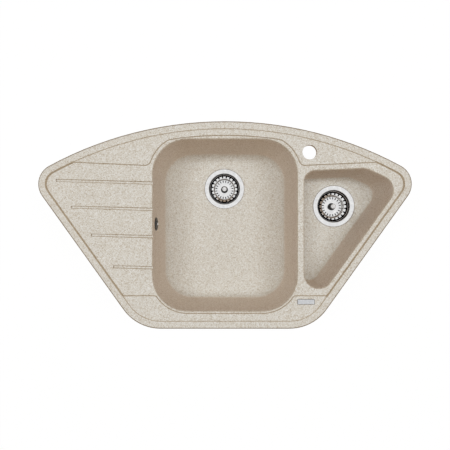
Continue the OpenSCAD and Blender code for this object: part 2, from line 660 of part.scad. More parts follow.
module at_elbow() translate([HALF.x, HALF.y, link_z]) rotate([0, 0, link_a]) children();
module at_tee() translate([MAIN.x, MAIN.y, link_z]) rotate([0, 0, link_a + 180]) children();
module elbow_ends() {
    translate([0, 0, bend_r]) children();
    translate([bend_r, 0, 0]) rotate([0, 90, 0]) children();
}
module link_elbow() color(plastic) at_elbow() {
    translate([bend_r, 0, bend_r]) rotate([90, 0, 0]) rotate([0, 0, 180])
        rotate_extrude(angle = 90, $fn = round_fn) translate([bend_r, 0]) difference() {
            circle(r = pipe_r + 1, $fn = round_fn);
            circle(r = pipe_r - pipe_t, $fn = round_fn);
        }
    elbow_ends() socket();
}
tail_end = link_z + bend_r + 3 + fit;
module half_tailpiece() color(plastic) translate([HALF.x, HALF.y, 0]) {
    translate([0, 0, tail_end]) tube(pipe_r, HALF.z + pipe_top - tail_end);
    ring_of(pipe_r - 1, tail_r - 0.1, HALF.z + pipe_top - collar_t, HALF.z + pipe_top);
}
module link_pipe() color(plastic) at_elbow() translate([bend_r + 3 + fit, 0, 0]) rotate([0, 90, 0])
    tube(pipe_r, link_len - bend_r - tee_reach - 6 - fit * 2);
module waste_tee() color(plastic) {
    at_tee() {
        difference() {
            union() {
                translate([0, 0, -spigot_l]) cylinder(r = pipe_r, h = spigot_l + link_drop, $fn = round_fn);
                rotate([0, 90, 0]) cylinder(r = pipe_r + 1, h = tee_reach + 1, $fn = round_fn);
                translate([0, 0, -pipe_r - 8]) cylinder(r = pipe_r + 1.5, h = pipe_r * 2 + 16, $fn = round_fn);
                translate([0, 0, link_drop - collar_t]) cylinder(r = tail_r - 0.1, h = collar_t, $fn = round_fn);
            }
            translate([0, 0, -spigot_l - 1])
                cylinder(r = pipe_r - pipe_t, h = spigot_l + link_drop + 2, $fn = round_fn);
            rotate([0, 90, 0]) cylinder(r = pipe_r - pipe_t, h = tee_reach + 3, $fn = round_fn);
        }
        translate([tee_reach, 0, 0]) rotate([0, 90, 0]) socket();
    }
}
module link_seals() color(rubber) {
    at_elbow() elbow_ends() socket_seal();
    at_tee() translate([tee_reach, 0, 0]) rotate([0, 90, 0]) socket_seal();
}

// Overflow. Its frame lies on the main bowl's left wall, with +Z into the bowl.

overflow_z = recess_z - overflow_depth;
overflow_x = -main_w / 2 + tan(draft) * (lip_z - overflow_z);
barrel_in = shell_t + gasket_t;
barrel_mid = -barrel_in - 17;
barrel_end = -barrel_in - 32;
barrel_r = overflow_hole_r + 3.5;
hose_top = [overflow_x + barrel_mid * cos(draft), overflow_y, overflow_z + barrel_mid * sin(draft)];
nipple_in = 14;
module at_overflow() translate([overflow_x, overflow_y, overflow_z]) rotate([0, 90 - draft, 0]) children();
module overflow_cover() color(rubber) at_overflow() difference() {
    rotate_extrude($fn = round_fn) polygon(concat([[0, 1], [overflow_cover_r - 3, 0.1]],
        [[overflow_cover_r, 0.1], [overflow_cover_r, 0.9]],
        arc_at([overflow_cover_r - 2.4, 0.9], 2, 20, 90, 3), [[4, 4], [0, 4]]));
    for (i = [0 : overflow_slots - 1]) rotate([0, 0, i * 360 / overflow_slots])
        translate([5.5, -1.4, -1]) cube([overflow_cover_r - 10, 2.8, 6]);
    translate([0, 0, -1]) cylinder(r = 2.2, h = 6, $fn = round_fn);
}
module overflow_screw() color(steel) at_overflow() {
    translate([0, 0, barrel_end + 8]) cylinder(r = 2, h = 4 - barrel_end - 8 + eps, $fn = round_fn);
    difference() {
        rotate_extrude($fn = round_fn) polygon(concat([[0, 4.1], [3.6, 4.1]],
            arc_at([2.6, 5], 1, 0, 90, 3), [[0, 6]]));
        translate([-5, -0.4, 5.2]) cube([10, 0.8, 2]);
    }
}
module overflow_seal() color(rubber) at_overflow()
    ring_of(overflow_hole_r + 0.5, overflow_hole_r + 8, -barrel_in, -shell_t);
module overflow_elbow() color(plastic) {
    difference() {
        union() {
            at_overflow() {
                ring_of(overflow_hole_r, overflow_hole_r + 8, -barrel_in - 3, -barrel_in);
                translate([0, 0, barrel_end]) cylinder(r = barrel_r, h = -barrel_in - barrel_end - 1, $fn = round_fn);
            }
            translate(hose_top) translate([0, 0, -barrel_r - 5])
                cylinder(r = nipple_r + 2, h = barrel_r + 5, $fn = round_fn);
            translate(hose_top) translate([0, 0, -barrel_r - 5 - nipple_in])
                cylinder(r = nipple_r, h = nipple_in + 6, $fn = round_fn);
        }
        at_overflow() translate([0, 0, barrel_end + 2])
            cylinder(r = overflow_hole_r, h = -barrel_end, $fn = round_fn);
        translate(hose_top) translate([0, 0, -barrel_r - 6 - nipple_in])
            cylinder(r = nipple_r - 2, h = barrel_r + 6 + nipple_in, $fn = round_fn);
    }
    at_overflow() ring_of(2.05, 4.5, barrel_end + 1, -barrel_in - 4);
}

// Corrugated hose: straight down from the overflow, one bend, and straight to the waste body.
// Its path lies in one upright plane, so a point is [distance along the plan, height].

hose_a = heading(MAIN, hose_top);
hose_z = MAIN.z - shell_t - 18;
hose_start = body_r + 6;
hose_sides = 8;
hose_bore_r = (nipple_r + fit) / cos(180 / hose_sides);
hose_valley_r = hose_bore_r + 1.4;
hose_crest_r = hose_bore_r + 3;
module at_hose() translate([0, 0, hose_z - MAIN.z]) rotate([0, 0, hose_a]) rotate([0, 90, 0]) children();
hose_far = norm([hose_top.x - MAIN.x, hose_top.y - MAIN.y]);
hose_high = hose_top.z - barrel_r - 5 - fit;
run_down = hose_high - hose_z - hose_bend_r;
run_bend = PI * hose_bend_r / 2;
run_flat = hose_far - hose_bend_r - hose_start;
hose_len = run_down + run_bend + run_flat;
function hose_frame(s) = s < run_down ? [hose_far, hose_high - s, -90]
    : s < run_down + run_bend ? let (a = (s - run_down) / hose_bend_r * 180 / PI)
        [hose_far - hose_bend_r * (1 - cos(a)), hose_high - run_down - hose_bend_r * sin(a), -90 - a]
    : [hose_far - hose_bend_r - (s - run_down - run_bend), hose_z, -180];
function hose_ring(s, r) = let (f = hose_frame(s)) [for (i = [0 : hose_sides - 1])
    let (a = (i + 0.5) * 360 / hose_sides, u = r * cos(a), x = f[0] - u * sin(f[2]), z = f[1] + u * cos(f[2]))
    [MAIN.x + x * cos(hose_a) + r * sin(a) * sin(hose_a), MAIN.y + x * sin(hose_a) - r * sin(a) * cos(hose_a), z]];
cuff_l = 20;
ribs = floor((hose_len - 2 * cuff_l) / rib_pitch);
hose_outside = concat([[0, hose_crest_r], [cuff_l, hose_crest_r]],
    [for (i = [0 : ribs - 1]) let (s = cuff_l + (i + 0.25) * (hose_len - 2 * cuff_l) / ribs)
        each [[s, hose_valley_r], [s + rib_pitch / 2, hose_crest_r]]],
    [[hose_len - cuff_l, hose_crest_r], [hose_len, hose_crest_r]]);
bore_rings = 24;
hose_inside = [for (i = [bore_rings : -1 : 0]) [hose_len * i / bore_rings, hose_bore_r]];
module overflow_hose() color(plastic) {
    all = concat(hose_outside, hose_inside);
    n = hose_sides;
    m = len(all);
    polyhedron([for (p = all) each hose_ring(p[0], p[1])], [for (k = [0 : m - 1]) for (i = [0 : n - 1])
        let (a = k * n + i, b = k * n + (i + 1) % n, c = (k + 1) % m * n + i, d = (k + 1) % m * n + (i + 1) % n)
            each [[a, b, d], [a, d, c]]]);
}

// Worm-drive clamps on the hose's two ends
clamp_w = 9;
module hose_clamp() {
    r = hose_crest_r + fit;
    ring_of(r, r + 1, 0, clamp_w);
    translate([r + 0.8, -7, -0.5]) cube([6, 14, clamp_w + 1]);
    translate([r + 4.2, -10, clamp_w / 2]) rotate([-90, 0, 0]) cylinder(r = 3.4, h = 4, $fn = 6);
}
module hose_clamps() color(steel) {
    translate([hose_top.x, hose_top.y, hose_high - 4 - clamp_w]) rotate([0, 0, 180]) hose_clamp();
    translate([MAIN.x, MAIN.y, MAIN.z]) at_hose() translate([0, 0, hose_start + 4]) hose_clamp();
}

// Fixing brackets. Each hooks under the worktop and is drawn up by a screw in a plug in the moulding.

clip_reach = 24;
clip_leg = 7;
clip_foot_z = -worktop_t - fit;
clip_head_z = -clip_boss_h;
module clip_bosses() at_clips() translate([0, 0, -clip_boss_h])
    cylinder(r = clip_boss_r, h = clip_boss_h + boss_z + 1, $fn = round_fn);
module clip_sockets() at_clips() translate([0, 0, -clip_boss_h - 1])
    cylinder(r = clip_anchor_r + 0.05, h = clip_boss_h, $fn = round_fn);
module clip_anchors() color(plastic) at_clips() ring_of(2.05, clip_anchor_r, clip_head_z, -1.2);
module clip_brackets() color(steel) at_clips() difference() {
    translate([0, clip_w / 2, 0]) rotate([90, 0, 0]) linear_extrude(clip_w) polygon(thick([
        [-clip_leg, clip_head_z], [clip_leg, clip_head_z], [clip_leg + clip_t, clip_head_z - clip_t],
        [clip_leg + clip_t, clip_foot_z + 1], [clip_leg + clip_t + 1, clip_foot_z],
        [clip_reach, clip_foot_z]], clip_t));
    translate([0, 0, clip_head_z - clip_t - 1]) cylinder(r = 2.6, h = clip_t + 2, $fn = round_fn);
}
module clip_screws() color(steel) at_clips() {
    translate([0, 0, clip_head_z - clip_t]) cylinder(r = 2, h = clip_boss_h + clip_t - 2.5, $fn = round_fn);
    difference() {
        rotate_extrude($fn = round_fn) polygon(concat([[0, clip_head_z - clip_t]],
            arc_at([3.2, clip_head_z - clip_t - 1.6], 1, -90, 0, 3), [[4.2, clip_head_z - clip_t]]));
        for (a = [0, 90]) rotate([0, 0, a]) translate([-2.4, -0.5, clip_head_z - clip_t - 3.6])
            cube([4.8, 1, 2.2]);
    }
}

sink_body();
rim_seal();
for (b = [["main", MAIN], ["half", HALF]]) {
    translate(b[1]) flange();
    translate(b[1]) upper_seal();
    translate(b[1]) lower_gasket();
    translate(b[1]) waste_body(b[0] == "main");
    translate(b[1]) centre_screw();
    translate(b[1]) insert_nut();
    translate(b[1]) basket();
    translate(b[1]) basket_knob();
    translate(b[1]) basket_collar();
    translate(b[1]) basket_stem();
    translate(b[1]) basket_plug();
    translate(b[1]) basket_nut();
    translate(b[1]) outlet_washer();
    translate(b[1]) outlet_nut();
}
half_tailpiece();
link_elbow();
link_pipe();
waste_tee();
link_seals();
overflow_cover();
overflow_screw();
overflow_seal();
overflow_elbow();
overflow_hose();
hose_clamps();
clip_anchors();
clip_brackets();
clip_screws();
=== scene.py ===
"""Looks of a corner kitchen sink in beige composite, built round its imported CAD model.

Every CAD node is dressed through a merged, smooth-shaded copy that stands for it. The plain name plate
on the front deck is modelled here. Lengths are in metres in the CAD's own frame.
"""

import json
import logging
import math
from dataclasses import dataclass, field
from enum import Enum
from typing import Any, Callable

import bmesh
import bpy
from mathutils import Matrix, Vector


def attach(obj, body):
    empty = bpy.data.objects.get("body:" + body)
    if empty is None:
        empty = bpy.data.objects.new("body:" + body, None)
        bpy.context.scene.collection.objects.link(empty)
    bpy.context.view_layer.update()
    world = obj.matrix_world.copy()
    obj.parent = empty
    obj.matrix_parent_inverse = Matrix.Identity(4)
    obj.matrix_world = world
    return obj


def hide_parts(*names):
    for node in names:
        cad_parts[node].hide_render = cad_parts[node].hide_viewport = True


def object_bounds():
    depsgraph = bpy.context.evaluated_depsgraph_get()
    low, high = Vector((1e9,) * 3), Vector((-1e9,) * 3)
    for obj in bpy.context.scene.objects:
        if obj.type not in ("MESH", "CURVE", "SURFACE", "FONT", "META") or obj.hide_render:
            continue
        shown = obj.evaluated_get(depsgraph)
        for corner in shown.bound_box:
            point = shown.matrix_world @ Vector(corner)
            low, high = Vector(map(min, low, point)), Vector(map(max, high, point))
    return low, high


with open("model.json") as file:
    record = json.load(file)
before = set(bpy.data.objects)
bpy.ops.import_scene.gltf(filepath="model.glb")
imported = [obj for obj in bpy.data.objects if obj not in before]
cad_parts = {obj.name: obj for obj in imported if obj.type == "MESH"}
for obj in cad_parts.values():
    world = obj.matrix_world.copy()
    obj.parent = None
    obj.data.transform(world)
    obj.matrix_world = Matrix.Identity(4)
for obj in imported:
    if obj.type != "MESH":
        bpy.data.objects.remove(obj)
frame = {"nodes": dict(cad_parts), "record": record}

LOG = logging.getLogger("sink")
CAD_BOX = [list(corner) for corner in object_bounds()]
MM = 0.001
# Attribute that marks the rounding of the rim's outer edge, which gets painted shade
EDGE_SHADE_MARK = "outer_edge_shade"
# Range that holds nearly all of a noise's values
NOISE_RANGE = (0.3, 0.7)
# Rays that find how closed in a point is
NOOK_RAYS = 8
# How far large faces lead in a smoothed corner, where 50 is neutral
FLATS_WEIGHT = 60

Colour = tuple[float, float, float, float]
Stops = tuple[tuple[float, str], ...]
Span = tuple[float, float]


class Slot(Enum):
    """Material slots of the record, by the name each has there."""

    COMPOSITE = "composite"
    STEEL = "polished_steel"
    ZINC = "zinc_steel"
    WHITE_PLASTIC = "white_plastic"
    BLACK_PLASTIC = "black_plastic"
    RUBBER = "black_rubber"
    BRASS = "brass"


class Bowl(Enum):
    """The two bowls, by the first word of their nodes' names."""

    MAIN = "main"
    HALF = "half"


# Colours and nodes


def linear(hex_code: str) -> Colour:
    """Turns an sRGB hex colour into the linear values that a shader takes.

    Args:
        hex_code: Six hex digits, with or without a leading #.

    Returns:
        Linear red, green, blue and an alpha of 1.
    """
    digits = hex_code.lstrip("#")
    channels = [int(digits[i:i + 2], 16) / 255 for i in (0, 2, 4)]
    bent = [c / 12.92 if c <= 0.04045 else ((c + 0.055) / 1.055) ** 2.4 for c in channels]
    return (bent[0], bent[1], bent[2], 1.0)


def add_node(
    tree: bpy.types.NodeTree,
    kind: str,
    values: dict[str | int, Any] | None = None,
    links: dict[str | int, bpy.types.NodeSocket] | None = None,
    **attributes: Any,
) -> bpy.types.Node:
    """Adds one node with its settings and the links into it.

    Args:
        tree: Node tree that gets the node.
        kind: Blender's name of the node's type.
        values: Default values by the input's name or number.
        links: Sockets to link into inputs, by the input's name or number.
        **attributes: Settings of the node itself, such as its operation.

    Returns:
        The new node.
    """
    node = tree.nodes.new(kind)
    for name, value in attributes.items():
        setattr(node, name, value)
    for name, value in (values or {}).items():
        node.inputs[name].default_value = value
    for name, socket in (links or {}).items():
        tree.links.new(socket, node.inputs[name])
    return node


def span(source: Span, target: Span = (0.0, 1.0)) -> dict[str, float]:
    """Gives the values with which a Map Range node turns one range into another.

    Args:
        source: Range of the values that come in.
        target: Range of the values that go out.

    Returns:
        The node's values by the names of its inputs.
    """
    return {"From Min": source[0], "From Max": source[1], "To Min": target[0], "To Max": target[1]}


def set_ramp(node: bpy.types.Node, stops: Stops) -> None:
    """Sets the colours of a Color Ramp node.

    Args:
        node: The Color Ramp node.
        stops: Place and sRGB hex colour of each stop, in rising order.
    """
    elements = node.color_ramp.elements
    while len(elements) < len(stops):
        elements.new(1.0)
    for element, (place, colour) in zip(elements, stops):
        element.position = place
        element.color = linear(colour)


def grain(size_mm: float) -> float:
    """Gives the texture scale at which one cell or wave of a noise is size_mm long."""
    return 1.0 / (size_mm * MM)


@dataclass(frozen=True)
class Finish:
    """What all finishes share: a name and the shader's own constant values."""

    name: str
    roughness: float = 0.5
    metallic: float = 0.0
    ior: float = 1.5
    specular: float = 0.5

    def start(self) -> tuple[bpy.types.Material, bpy.types.NodeTree, bpy.types.Node, bpy.types.NodeSocket]:
        """Makes the material with its shader and a source of Object coordinates.

        Returns:
            The material, its tree, its Principled shader and the Object coordinate socket.
        """
        material = bpy.data.materials.new(self.name)
        material.use_nodes = True
        tree = material.node_tree
        tree.nodes.clear()
        place = add_node(tree, "ShaderNodeTexCoord")
        shader = add_node(tree, "ShaderNodeBsdfPrincipled", {
            "Roughness": self.roughness, "Metallic": self.metallic, "Specular IOR Level": self.specular})
        if self.metallic < 1.0:
            shader.inputs["IOR"].default_value = self.ior
        add_node(tree, "ShaderNodeOutputMaterial", links={"Surface": shader.outputs["BSDF"]})
        return material, tree, shader, place.outputs["Object"]

    def bump(
        self,
        tree: bpy.types.NodeTree,
        shader: bpy.types.Node,
        height: bpy.types.NodeSocket,
        depth_mm: float,
        strength: float,
    ) -> None:
        """Links a height into the shader's normal.

        Args:
            tree: The material's tree.
            shader: The shader that gets the normal.
            height: Height pattern between 0 and 1.
            depth_mm: Real height of the pattern.
            strength: Share of the bump that is used.
        """
        bump = add_node(tree, "ShaderNodeBump", {"Distance": depth_mm * MM, "Strength": strength},
                        {"Height": height})
        tree.links.new(bump.outputs["Normal"], shader.inputs["Normal"])


@dataclass(frozen=True)
class QuartzComposite(Finish):
    """Quartz-filled acrylic composite, cast against a fine satin mould.

    The eye sees a matt, sandy beige that is made of pale, brown and grey grains. The real grains are under
    a millimetre across. They are drawn at 2 mm, the finest that shows from the photograph's distance.
    """

    name: str = "quartz_composite_beige"
    roughness: float = 0.65
    ior: float = 1.49
    specular: float = 0.12
    gloss_spread: float = 0.08
    gloss_range: Span = (0.25, 0.75)
    grain_mm: float = 2.0
    mottle_mm: float = 2.2
    cloud_mm: float = 60.0
    skin_mm: float = 0.9
    skin_depth_mm: float = 0.12
    skin_strength: float = 0.55
    mottle_tones: Span = (0.95, 1.05)
    cloud_tones: Span = (0.985, 1.015)
    stops: Stops = (
        (0.0, "#c0b4a3"), (0.14, "#d0c7b8"), (0.34, "#d8d1c4"), (0.62, "#dcd7cc"), (0.85, "#e4e0d8"),
        (1.0, "#eae8e1"))
    crease_mm: float = 3.0
    crease_open: Span = (0.9, 0.7)
    # Colour of the painted shade in creases
    crease_shade_tint: str = "#bba68c"
    deck_from_mm: Span = (2.4, 3.6)
    slope_lean: Span = (0.995, 0.7)
    # Colour of the painted shade on the deck's slopes
    slope_shade_tint: str = "#d9ccba"
    wall_lean: Span = (0.55, 0.2)
    # Gain of the painted light on the walls
    wall_light_gain: tuple[float, float, float] = (1.1, 1.035, 1.01)
    # Colour of the painted shade on the rim's outer edge
    edge_shade_tint: str = "#b4a899"

    def build(self) -> bpy.types.Material:
        """Builds the composite's material.

        Returns:
            The material.
        """
        material, tree, shader, place = self.start()
        colour = self.sand(tree, place)
        colour = self.paint_crease_shade(tree, colour)
        colour = self.shade(tree, place, colour)
        tree.links.new(colour, shader.inputs["Base Color"])
        skin = add_node(tree, "ShaderNodeTexNoise", {"Scale": grain(self.skin_mm), "Detail": 2.0},
                        {"Vector": place})
        gloss = add_node(
            tree, "ShaderNodeMapRange",
            span(self.gloss_range, (self.roughness - self.gloss_spread, self.roughness + self.gloss_spread)),
            {"Value": skin.outputs["Fac"]})
        tree.links.new(gloss.outputs["Result"], shader.inputs["Roughness"])
        self.bump(tree, shader, skin.outputs["Fac"], self.skin_depth_mm, self.skin_strength)
        return material

    def sand(self, tree: bpy.types.NodeTree, place: bpy.types.NodeSocket) -> bpy.types.NodeSocket:
        """Mixes the grains' colours with a mottling and a faint drift over the whole sink.

        Args:
            tree: The material's tree.
            place: Object coordinates.

        Returns:
            The colour's socket.
        """
        cells = add_node(tree, "ShaderNodeTexVoronoi", {"Scale": grain(self.grain_mm), "Randomness": 1.0},
                         {"Vector": place}, feature="F1")
        pick = add_node(tree, "ShaderNodeSeparateColor", links={"Color": cells.outputs["Color"]})
        sand = add_node(tree, "ShaderNodeValToRGB", links={"Fac": pick.outputs["Red"]})
        set_ramp(sand, self.stops)
        mottle = add_node(tree, "ShaderNodeTexNoise",
                          {"Scale": grain(self.mottle_mm), "Detail": 2.0, "Roughness": 0.6},
                          {"Vector": place})
        tone = add_node(tree, "ShaderNodeMapRange", span(NOISE_RANGE, self.mottle_tones),
                        {"Value": mottle.outputs["Fac"]})
        cloud = add_node(tree, "ShaderNodeTexNoise", {"Scale": grain(self.cloud_mm), "Detail": 3.0},
                         {"Vector": place})
        drift = add_node(tree, "ShaderNodeMapRange", span(NOISE_RANGE, self.cloud_tones),
                         {"Value": cloud.outputs["Fac"]})
        level = add_node(tree, "ShaderNodeMath",
                         links={0: tone.outputs["Result"], 1: drift.outputs["Result"]}, operation="MULTIPLY")
        colour = add_node(tree, "ShaderNodeVectorMath",
                          links={0: sand.outputs["Color"], 1: level.outputs["Value"]}, operation="MULTIPLY")
        return colour.outputs["Vector"]

    def paint_crease_shade(self, tree: bpy.types.NodeTree, colour: bpy.types.NodeSocket) -> bpy.types.NodeSocket:
        """Paints shade into creases a few millimetres wide, darker where a point is more closed in.

        Args:
            tree: The material's tree.
            colour: The colour so far.

        Returns:
            The colour's socket.
        """
        nook = add_node(tree, "ShaderNodeAmbientOcclusion", {"Distance": self.crease_mm * MM},
                        samples=NOOK_RAYS)
        depth = add_node(tree, "ShaderNodeMapRange", span(self.crease_open), {"Value": nook.outputs["AO"]})
        # Painted shade: the colour darkens towards a brown tint in creases
        crease_shaded = add_node(tree, "ShaderNodeMix", {"B": linear(self.crease_shade_tint)},
                           {"Factor": depth.outputs["Result"], "A": colour},
                           data_type="RGBA", blend_type="MULTIPLY")
        return crease_shaded.outputs["Result"]

    def shade(
        self, tree: bpy.types.NodeTree, place: bpy.types.NodeSocket, colour: bpy.types.NodeSocket,
    ) -> bpy.types.NodeSocket:
        """Paints light and shade into what isn't level: the deck's slopes, the walls and the rim's outer
        edge.

        The slopes of the deck and the rim's edge get painted shade. The walls get painted light, which makes
        them a little warmer and paler.

        Args:
            tree: The material's tree.
            place: Object coordinates.
            colour: The colour so far.

        Returns:
            The colour's socket.
        """
        face = add_node(tree, "ShaderNodeNewGeometry")
        upright = add_node(tree, "ShaderNodeSeparateXYZ", links={"Vector": face.outputs["Normal"]})
        height = add_node(tree, "ShaderNodeSeparateXYZ", links={"Vector": place})
        lean = add_node(tree, "ShaderNodeMapRange", span(self.slope_lean), {"Value": upright.outputs["Z"]})
        deck = add_node(tree, "ShaderNodeMapRange",
                        span((self.deck_from_mm[0] * MM, self.deck_from_mm[1] * MM)),
                        {"Value": height.outputs["Z"]})
        slope = add_node(tree, "ShaderNodeMath", links={0: lean.outputs["Result"], 1: deck.outputs["Result"]},
                         operation="MULTIPLY")
        # Painted shade on the deck's slopes
        slope_shaded = add_node(tree, "ShaderNodeMix", {"B": linear(self.slope_shade_tint)},
                          {"Factor": slope.outputs["Value"], "A": colour},
                          data_type="RGBA", blend_type="MULTIPLY")
        steep = add_node(tree, "ShaderNodeMapRange", span(self.wall_lean), {"Value": upright.outputs["Z"]})
        sunk = add_node(tree, "ShaderNodeMath", {0: 1.0}, {1: deck.outputs["Result"]}, operation="SUBTRACT")
        wall = add_node(tree, "ShaderNodeMath", links={0: steep.outputs["Result"], 1: sunk.outputs["Value"]},
                        operation="MULTIPLY")
        # Painted light: the walls are made a little paler and warmer
        wall_lit = add_node(tree, "ShaderNodeVectorMath", {1: self.wall_light_gain}, {0: slope_shaded.outputs["Result"]},
                        operation="MULTIPLY")
        wall_lit_mix = add_node(tree, "ShaderNodeMix", links={
            "Factor": wall.outputs["Value"], "A": slope_shaded.outputs["Result"], "B": wall_lit.outputs["Vector"]},
            data_type="RGBA")
        # Painted shade on the rim's outer edge, where the mark is set
        rim = add_node(tree, "ShaderNodeAttribute", attribute_name=EDGE_SHADE_MARK)
        edge_shaded = add_node(tree, "ShaderNodeMix", {"B": linear(self.edge_shade_tint)},
                         {"Factor": rim.outputs["Fac"], "A": wall_lit_mix.outputs["Result"]},
                         data_type="RGBA", blend_type="MULTIPLY")
        return edge_shaded.outputs["Result"]


@dataclass(frozen=True)
class StainlessSteel(Finish):
    """Type 304 stainless steel sheet, pressed and polished, or left satin.

    The eye sees a bright mirror that is faintly clouded by wiping marks, with a slight waviness from the
    press. Narrow gaps get painted shade, as the steel there mirrors only steel in shade.
    """

    name: str = "stainless_steel_polished"
    roughness: float = 0.12
    metallic: float = 1.0
    base: str = "#e4e4e4"
    dull: str = "#d9d9da"
    bright: str = "#efefee"
    tint_places: tuple[float, float, float] = (0.3, 0.55, 0.75)
    wipe_mm: float = 9.0
    scratch_mm: float = 0.5
    spread: float = 0.06
    # Two noises multiplied stay lower than one
    gloss_range: Span = (0.12, 0.4)
    wave_depth_mm: float = 0.05
    wave_strength: float = 0.2
    gap_mm: float = 8.0
    # Colour of the painted shade in narrow gaps
    gap_shade_tint: str = "#5a5b5c"
    gap_open: Span = (0.7, 0.3)

    def build(self) -> bpy.types.Material:
        """Builds the steel's material.

        Returns:
            The material.
        """
        material, tree, shader, place = self.start()
        wipe = add_node(tree, "ShaderNodeTexNoise", {"Scale": grain(self.wipe_mm), "Detail": 4.0},
                        {"Vector": place})
        tint = add_node(tree, "ShaderNodeValToRGB", links={"Fac": wipe.outputs["Fac"]})
        set_ramp(tint, tuple(zip(self.tint_places, (self.dull, self.base, self.bright))))
        nook = add_node(tree, "ShaderNodeAmbientOcclusion", {"Distance": self.gap_mm * MM},
                        samples=NOOK_RAYS)
        depth = add_node(tree, "ShaderNodeMapRange", span(self.gap_open), {"Value": nook.outputs["AO"]})
        # Painted shade: the steel's colour darkens in narrow gaps
        gap_shaded = add_node(tree, "ShaderNodeMix", {"B": linear(self.gap_shade_tint)},
                          {"Factor": depth.outputs["Result"], "A": tint.outputs["Color"]},
                          data_type="RGBA", blend_type="MULTIPLY")
        tree.links.new(gap_shaded.outputs["Result"], shader.inputs["Base Color"])
        scratch = add_node(tree, "ShaderNodeTexNoise", {"Scale": grain(self.scratch_mm), "Detail": 3.0},
                           {"Vector": place})
        blend = add_node(tree, "ShaderNodeMath", links={0: wipe.outputs["Fac"], 1: scratch.outputs["Fac"]},
                         operation="MULTIPLY")
        gloss = add_node(
            tree, "ShaderNodeMapRange",
            span(self.gloss_range, (self.roughness - self.spread, self.roughness + self.spread)),
            {"Value": blend.outputs["Value"]})
        tree.links.new(gloss.outputs["Result"], shader.inputs["Roughness"])
        self.bump(tree, shader, wipe.outputs["Fac"], self.wave_depth_mm, self.wave_strength)
        return material


@dataclass(frozen=True)
class ZincPlate(Finish):
    """Bright zinc plate with a clear passivation on pressed mild steel.

    The eye sees a bluish-grey metal, duller than stainless, with cloudy patches where the bath dried.
    """

    name: str = "zinc_plated_steel"
    roughness: float = 0.32
    metallic: float = 1.0
    patch_mm: float = 7.0
    stops: Stops = ((0.3, "#a9adb3"), (0.5, "#b9bdc1"), (0.62, "#c4c3b4"), (0.75, "#c9ccd0"))
    gloss: Span = (0.24, 0.44)

    def build(self) -> bpy.types.Material:
        """Builds the zinc's material.

        Returns:
            The material.
        """
        material, tree, shader, place = self.start()
        patch = add_node(tree, "ShaderNodeTexNoise",
                         {"Scale": grain(self.patch_mm), "Detail": 5.0, "Distortion": 0.6}, {"Vector": place})
        tint = add_node(tree, "ShaderNodeValToRGB", links={"Fac": patch.outputs["Fac"]})
        set_ramp(tint, self.stops)
        tree.links.new(tint.outputs["Color"], shader.inputs["Base Color"])
        gloss = add_node(tree, "ShaderNodeMapRange", span(NOISE_RANGE, self.gloss),
                         {"Value": patch.outputs["Fac"]})
        tree.links.new(gloss.outputs["Result"], shader.inputs["Roughness"])
        return material


@dataclass(frozen=True)
class MouldedPlastic(Finish):
    """Injection-moulded polypropylene or ABS.

    The eye sees one even colour with a soft sheen and the slight ripple of a moulded skin.
    """

    name: str = "polypropylene_white"
    roughness: float = 0.38
    base: str = "#f0f2f4"
    shade: str = "#e6e8ea"
    ripple_mm: float = 5.0
    peel_mm: float = 0.6
    peel_depth_mm: float = 0.02
    peel_strength: float = 0.35
    spread: float = 0.05

    def build(self) -> bpy.types.Material:
        """Builds the plastic's material.

        Returns:
            The material.
        """
        material, tree, shader, place = self.start()
        ripple = add_node(tree, "ShaderNodeTexNoise", {"Scale": grain(self.ripple_mm), "Detail": 2.0},
                          {"Vector": place})
        tint = add_node(tree, "ShaderNodeValToRGB", links={"Fac": ripple.outputs["Fac"]})
        set_ramp(tint, tuple(zip(NOISE_RANGE, (self.shade, self.base))))
        tree.links.new(tint.outputs["Color"], shader.inputs["Base Color"])
        peel = add_node(tree, "ShaderNodeTexNoise", {"Scale": grain(self.peel_mm), "Detail": 1.0},
                        {"Vector": place})
        gloss = add_node(tree, "ShaderNodeMapRange",
                         span(NOISE_RANGE, (self.roughness - self.spread, self.roughness + self.spread)),
                         {"Value": ripple.outputs["Fac"]})
        tree.links.new(gloss.outputs["Result"], shader.inputs["Roughness"])
        self.bump(tree, shader, peel.outputs["Fac"], self.peel_depth_mm, self.peel_strength)
        return material


@dataclass(frozen=True)
class NitrileRubber(Finish):
    """Pressed black nitrile rubber.

    The eye sees a dull near-black with a grey bloom and a slightly grained skin.
    """

    name: str = "nitrile_rubber_black"
    roughness: float = 0.72
    bloom_mm: float = 6.0
    skin_mm: float = 0.5
    skin_depth_mm: float = 0.05
    skin_strength: float = 0.5
    stops: Stops = ((0.35, "#1a1a1b"), (0.7, "#2b2b2c"))

    def build(self) -> bpy.types.Material:
        """Builds the rubber's material.

        Returns:
            The material.
        """
        material, tree, shader, place = self.start()
        bloom = add_node(tree, "ShaderNodeTexNoise", {"Scale": grain(self.bloom_mm), "Detail": 4.0},
                         {"Vector": place})
        tint = add_node(tree, "ShaderNodeValToRGB", links={"Fac": bloom.outputs["Fac"]})
        set_ramp(tint, self.stops)
        tree.links.new(tint.outputs["Color"], shader.inputs["Base Color"])
        skin = add_node(tree, "ShaderNodeTexNoise", {"Scale": grain(self.skin_mm), "Detail": 2.0},
                        {"Vector": place})
        self.bump(tree, shader, skin.outputs["Fac"], self.skin_depth_mm, self.skin_strength)
        return material


